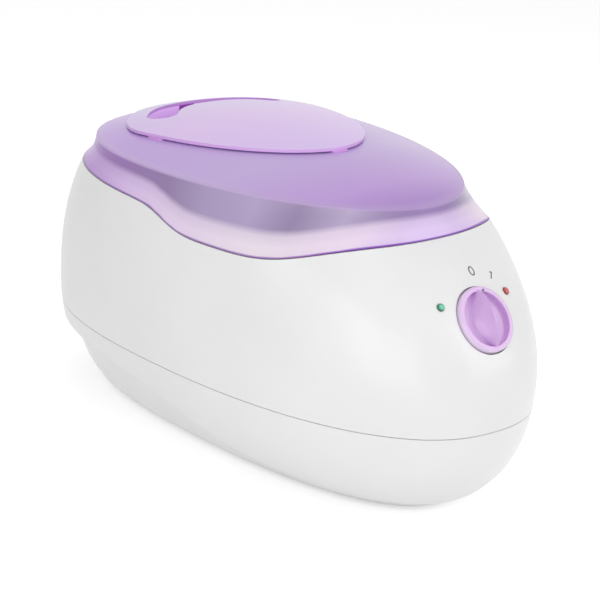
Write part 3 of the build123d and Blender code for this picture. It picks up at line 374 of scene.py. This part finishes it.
def plate_plastic():
    """Pale lilac on top, with a painted highlight on its rim, which faces sideways: deeper and pinker, and
    lighter towards the front.
    """
    surface = Surface("handle_lilac", (220, 202, 238), 0.3).sheen_spread(180, 0.03).rounded(0.0006)
    x = surface.place("X")
    face = surface.bands(x, ((-0.13, (226, 206, 255)), (-0.05, (238, 206, 255)), (0.03, (230, 200, 255))))
    # Painted highlight: the sideways rim is painted pinker, lighter towards the front.
    rim = surface.bands(x, ((-0.13, (214, 170, 232)), (0.03, (232, 188, 248))))
    upright = surface.along(surface.directions, "Z")
    to_face = surface.span(upright, PLATE_RIM_HIGHLIGHT_NORMAL, PLATE_FACE_NORMAL)
    return surface.paint(surface.mixed(to_face, rim, face))


def cup_plastic():
    """Light lilac, painted darker towards the floor of the well as shade, with a painted glow in place of
    light that comes through the lid, and a dark patch of painted shade over the window.
    """
    surface = satin(Surface("cup_lilac", (250, 222, 255), 0.35))
    z = surface.place("Z")
    # Painted shade: the well's wall is painted darker towards its floor.
    wall = surface.bands(z, ((TRAY_FLOOR, (206, 170, 226)), (TRAY_TOP, (222, 186, 236)),
                             (WELL_TOP, (238, 206, 246))))
    # Painted shade: a dark magenta patch on the rear wall, between the window's sides.
    patch = surface.bands(z, ((TRAY_TOP, (138, 50, 160)), (WELL_TOP, (150, 56, 170))))
    before = surface.level(surface.place("X"), ((WELL_REAR, 0), (WELL_REAR + WELL_SOFT, 1)))
    beside = surface.level(surface.aside(), ((WINDOW_HALF - WINDOW_SOFT, 0),
                                             (WINDOW_HALF + WINDOW_SOFT, 1)))
    colour = surface.mixed(beside, surface.mixed(before, patch, wall), wall)
    # Painted light: the same colour glows, in place of light that comes through the lid.
    surface.tree.links.new(colour, surface.shader.inputs["Emission Color"])
    return surface.paint(colour).set(Emission_Strength=0.16)


def knob_plastic():
    """Lilac under a glossy coat, painted darker in the middle as shade and paler on the rim as a painted
    highlight, palest at its outer edge.
    """
    surface = satin(Surface("knob_lilac", (204, 168, 226), 0.24), 0.0006)
    middle, _, _, out = knob_axes()
    # Painted shade in the middle and a painted highlight on the rim, by distance from the knob's axis.
    colour = surface.bands(surface.off_axis(middle, out), (
        (0.0, (204, 164, 219)), (0.0150, (208, 168, 222)), (0.0174, (220, 180, 232)),
        (0.0198, (224, 188, 234)), (0.0207, (228, 208, 236))))
    return surface.paint(colour).set(Coat_Weight=0.3, Coat_Roughness=0.08)


def lens_plastic(name, node, centre, edge):
    """Glossy coloured lens, its own colour in the middle, with painted shade that darkens it towards its
    rim.
    """
    surface = satin(Surface(name, centre, 0.12), 0.0003)
    points = [v.co for v in frame["nodes"][node].data.vertices]
    middle = sum(points, Vector()) / len(points)
    # Painted shade: the lens darkens from its middle to its rim.
    colour = surface.bands(surface.off_axis(middle, knob_axes()[3]),
                           ((0.0, centre), (0.0011, centre), (0.0023, edge)))
    return surface.paint(colour).set(Coat_Weight=0.6, Coat_Roughness=0.04)


casing = moulded("casing_white", (238, 238, 238), 0.3).set(Coat_Weight=0.15, Coat_Roughness=0.15)
lid = lid_plastic().set(Transmission_Weight=0.15, IOR=1.45, Coat_Weight=0.1, Coat_Roughness=0.15,
                        Specular_IOR_Level=0.35)
plate = plate_plastic().set(Transmission_Weight=0.05, IOR=1.45, Coat_Weight=0.15, Coat_Roughness=0.12)
cup = cup_plastic()
clip = moulded("clip_pink", (218, 162, 234), 0.3)
knob = knob_plastic()
# Lens colours: the middle, then the painted shade at the rim.
green = lens_plastic("lens_green", "green_lens", (104, 212, 172), (26, 98, 76))
red = lens_plastic("lens_red", "red_lens", (222, 66, 62), (128, 18, 20))
aluminium = metal("tank_aluminium", (206, 206, 210), 0.32, (1, 1, 6))
steel = metal("zinc_steel", (190, 192, 198), 0.3)
element = metal("element_steel", (128, 120, 116), 0.42)
brass = metal("terminal_brass", (214, 176, 104), 0.28)
silicone = moulded("silicone", (214, 214, 208), 0.6)
grille = moulded("grille_white", (232, 232, 226), 0.42)
blanket = Surface("blanket_fibre", (226, 220, 204), 0.95).tint(160, 0.12, 6).grain(700, 0.0004, 6)
ceramic = Surface("fuse_ceramic", (222, 214, 186), 0.5).tint(300, 0.06).grain(2500, 0.00002)
bakelite = moulded("thermostat_case", (46, 42, 40), 0.45, 0.0003)
nylon = moulded("nylon_black", (34, 34, 36), 0.5, 0.0003)
pale_nylon = moulded("nylon_pale", (222, 222, 216), 0.5, 0.0003)
sleeve = moulded("lead_sleeve", (206, 203, 192), 0.55, 0.0002)
rubber = Surface("foot_rubber", (58, 58, 60), 0.8).tint(90, 0.1).rounded(0.0003).grain(1800, 0.00005, 4)
ink = Surface("mark_ink", (78, 78, 102), 0.5).tint(500, 0.06).sheen_spread(900, 0.05)

NODE_SURFACES = {
    "housing": casing, "base_cover": casing, "lid_shell": lid, "handle_plate": plate, "finger_cup": cup,
    "handle_clips": clip, "control_knob": knob, "green_lens": green, "red_lens": red,
    "wax_pot": aluminium, "heater_plate": aluminium, "pot_gasket": silicone, "guard_grille": grille,
    "pot_nuts": steel, "clamp_nuts": steel, "element_clamps": steel, "fuse_clip": steel,
    "thermostat_bracket": steel, "spindle_nut": steel, "thermostat_spindle": steel,
    "base_screws": steel, "clamp_screws": steel, "earth_screw": brass, "heating_element": element,
    "insulation_blanket": blanket, "thermal_fuse": ceramic, "thermostat_body": bakelite,
    "lamp_holders": nylon, "cord_gland": nylon, "cord_clamp": nylon, "terminal_block": pale_nylon,
    "leads": sleeve, "rubber_feet": rubber,
}


def dress_nodes():
    """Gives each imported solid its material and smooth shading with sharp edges."""
    for name, node in frame["nodes"].items():
        node.data.materials.clear()
        node.data.materials.append(NODE_SURFACES[name].material)
        node.data.shade_smooth()
        node.data.set_sharp_from_angle(angle=SHARP_ANGLE)


def surface_tree(name):
    """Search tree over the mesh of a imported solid."""
    mesh = frame["nodes"][name].data
    return BVHTree.FromPolygons([v.co for v in mesh.vertices], [p.vertices for p in mesh.polygons])


def add_piece(name, points, faces, material):
    """New object in the scene, made of a mesh with one material."""
    mesh = bpy.data.meshes.new(name)
    mesh.from_pydata(points, [], faces)
    mesh.materials.append(material)
    piece = bpy.data.objects.new(name, mesh)
    bpy.context.scene.collection.objects.link(piece)
    return piece


def panel_point(tree, x, y):
    """Point just off the surface of a solid, at a place of the panel."""
    middle, across, up, out = knob_axes()
    start = middle + across * x + up * y + out * PROBE_HEIGHT
    hit, normal, _, _ = tree.ray_cast(start, -out)
    if normal.dot(out) < 0:
        normal = -normal
    return hit + normal * LIFT


def stroke(name, tree, path, width, closed):
    """Thin printed line that lies on a surface along a path of panel places."""
    count = len(path)
    points, faces = [], []
    for i in range(count):
        before = Vector(path[(i - 1) % count if closed else max(i - 1, 0)])
        after = Vector(path[(i + 1) % count if closed else min(i + 1, count - 1)])
        side = (after - before).normalized().orthogonal() * width / 2
        place = Vector(path[i])
        for sign in (-1, 1):
            edge = place + side * sign
            points.append(panel_point(tree, edge.x, edge.y))
    for i in range(count if closed else count - 1):
        a, b = 2 * i, 2 * ((i + 1) % count)
        faces.append((a, a + 1, b + 1, b))
    return add_piece(name, points, faces, ink.material)


def full_circle(count):
    """Even angles round a circle."""
    return [2 * math.pi * i / count for i in range(count)]


def turned(turn, radius, x, y):
    """Place of a mark's own x and y, where the mark stands at a turn round the knob."""
    direction = Vector((math.sin(turn), math.cos(turn)))
    right = Vector((direction.y, -direction.x))
    return direction * (radius + y) + right * x


def dial_marks():
    """The 0 and the 1 on the casing."""
    tree = surface_tree("housing")
    half = MARK_HEIGHT / 2
    zero = [turned(ZERO_TURN, ZERO_RADIUS, ZERO_HALF * math.sin(a), half * math.cos(a))
            for a in full_circle(ZERO_POINTS)]
    one = [turned(ONE_TURN, ONE_RADIUS, 0, y) for y in (-half, 0, half)]
    flag = [turned(ONE_TURN, ONE_RADIUS, x, half + FLAG_SLOPE * x) for x in FLAG_PLACES]
    for name, path, closed in (("mark_zero", zero, True), ("mark_one", one, False),
                               ("mark_one_flag", flag, False)):
        piece = stroke(name, tree, path, MARK_STROKE, closed)
        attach(piece, "base")


def index_dot():
    """Small dot on the rim of the knob."""
    tree = surface_tree("control_knob")
    centre = turned(DOT_TURN, DOT_PLACE, 0, 0)
    path = [centre + Vector((math.sin(a), math.cos(a))) * DOT_RADIUS / 2
            for a in full_circle(DOT_POINTS)]
    piece = stroke("index_dot", tree, path, DOT_RADIUS * DOT_FILL, True)
    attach(piece, "knob")


def slot_outline(half, z):
    """Closed outline of the curved finger slot at a half width, with round ends."""
    along = SLOT_END_X - SLOT_MIDDLE_X
    radius = (along ** 2 + SLOT_END_Y ** 2) / (2 * along)
    centre = SLOT_MIDDLE_X + radius
    reach = math.asin(SLOT_END_Y / radius)
    turns = [reach * (2 * i / SLOT_STEPS - 1) for i in range(SLOT_STEPS + 1)]

    def on_arc(turn, distance):
        """Place at a turn round the centre of the slot's arc."""
        return centre - distance * math.cos(turn), distance * math.sin(turn), z

    def cap(turn, side):
        """Round end at a turn, from one side of the slot to the other."""
        rearwards = Vector((-math.cos(turn), math.sin(turn), 0)) * side
        beyond = Vector((math.sin(turn), math.cos(turn), 0)) * side
        swings = [math.pi * i / CAP_STEPS for i in range(1, CAP_STEPS)]
        return [Vector(on_arc(turn, radius)) + (rearwards * math.cos(a) + beyond * math.sin(a)) * half
                for a in swings]

    rear = [on_arc(t, radius + half) for t in turns]
    front = [on_arc(t, radius - half) for t in reversed(turns)]
    return rear + cap(reach, 1) + front + cap(-reach, -1)


def well_tray():
    """Thin tray under the collar of the finger well."""
    outside = SLOT_HALF + TRAY_WALL
    rings = [slot_outline(outside, TRAY_FLOOR - TRAY_WALL), slot_outline(outside, TRAY_TOP),
             slot_outline(SLOT_HALF, TRAY_TOP), slot_outline(SLOT_HALF, TRAY_FLOOR)]
    count = len(rings[0])
    underside = tuple(reversed(range(count)))
    floor = tuple(range(len(rings) * count - count, len(rings) * count))
    faces = [underside, floor]
    for low in range(0, (len(rings) - 1) * count, count):
        for i in range(count):
            here, following = low + i, low + (i + 1) % count
            faces.append((here, following, following + count, here + count))
    piece = add_piece("well_tray", [p for ring in rings for p in ring], faces, cup.material)
    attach(piece, "lid")


def seen_rays(tree, path):
    """One for rays that show a surface straight on, in gloss or through a clear piece."""
    seen = path.outputs["Is Camera Ray"]
    for name in ("Is Glossy Ray", "Is Transmission Ray"):
        most = tree.nodes.new("ShaderNodeMath")
        most.operation = "MAXIMUM"
        tree.links.new(seen, most.inputs[0])
        tree.links.new(path.outputs[name], most.inputs[1])
        seen = most.outputs["Value"]
    return seen


def floor_material():
    """Pale surface that shows as plain white to what looks at it, and still takes the shadow."""
    material = bpy.data.materials.new("floor_white")
    material.use_nodes = True
    tree = material.node_tree
    shader = tree.nodes["Principled BSDF"]
    shader.inputs["Base Color"].default_value = (FLOOR_SHADE, FLOOR_SHADE, FLOOR_SHADE, 1)
    shader.inputs["Roughness"].default_value = 0.9
    path = tree.nodes.new("ShaderNodeLightPath")
    glow = tree.nodes.new("ShaderNodeMapRange")
    glow.inputs["To Max"].default_value = FLOOR_GLOW
    tree.links.new(seen_rays(tree, path), glow.inputs["Value"])
    shader.inputs["Emission Color"].default_value = (1, 1, 1, 1)
    tree.links.new(glow.outputs["Result"], shader.inputs["Emission Strength"])
    return material


def pale_floor():
    """Large plane under the bath."""
    half = FLOOR_SIZE / 2
    corners = [(-half, -half, 0), (half, -half, 0), (half, half, 0), (-half, half, 0)]
    piece = add_piece("floor", corners, [(0, 1, 2, 3)], floor_material())
    piece.location = (0, 0, -FLOOR_DROP)


def world_light():
    """Even white surroundings, which look white straight on and in reflections."""
    world = bpy.data.worlds.new("studio")
    bpy.context.scene.world = world
    world.use_nodes = True
    tree = world.node_tree
    shader = tree.nodes["Background"]
    path = tree.nodes.new("ShaderNodeLightPath")
    level = tree.nodes.new("ShaderNodeMapRange")
    level.inputs["To Min"].default_value = WORLD_LIGHT
    level.inputs["To Max"].default_value = 1.0
    tree.links.new(seen_rays(tree, path), level.inputs["Value"])
    tree.links.new(level.outputs["Result"], shader.inputs["Strength"])
    shader.inputs["Color"].default_value = (1, 1, 1, 1)


def area_light(name, place, power):
    """Soft square light that faces the object."""
    light = bpy.data.lights.new(name, "AREA")
    light.size = LIGHT_SIZE
    light.energy = power
    lamp = bpy.data.objects.new(name, light)
    lamp.location = place
    lamp.rotation_euler = (CAMERA_TARGET - Vector(place)).to_track_quat("-Z", "Y").to_euler()
    bpy.context.scene.collection.objects.link(lamp)


def photo_camera():
    """Camera at the photograph's angle, with its small roll."""
    out = Vector((math.cos(CAMERA_RISE) * math.cos(CAMERA_TURN),
                  -math.cos(CAMERA_RISE) * math.sin(CAMERA_TURN), math.sin(CAMERA_RISE)))
    level = Vector((math.sin(CAMERA_TURN), math.cos(CAMERA_TURN), 0))
    upright = out.cross(level)
    right = level * math.cos(CAMERA_ROLL) + upright * math.sin(CAMERA_ROLL)
    up = out.cross(right)
    data = bpy.data.cameras.new("photo_camera")
    data.lens = CAMERA_LENS
    data.sensor_width = SENSOR_WIDTH
    data.clip_start = CLIP_START
    camera = bpy.data.objects.new("photo_camera", data)
    camera.matrix_world = Matrix((
        (right.x, up.x, out.x, 0), (right.y, up.y, out.y, 0), (right.z, up.z, out.z, 0), (0, 0, 0, 1)))
    camera.location = CAMERA_TARGET + out * CAMERA_DISTANCE
    bpy.context.scene.collection.objects.link(camera)
    bpy.context.scene.camera = camera


dress_nodes()
dial_marks()
index_dot()
well_tray()
pale_floor()
world_light()
for light_name, light_place, light_power in LIGHTS:
    area_light(light_name, light_place, light_power)
photo_camera()
bpy.context.scene.view_settings.view_transform = "Standard"
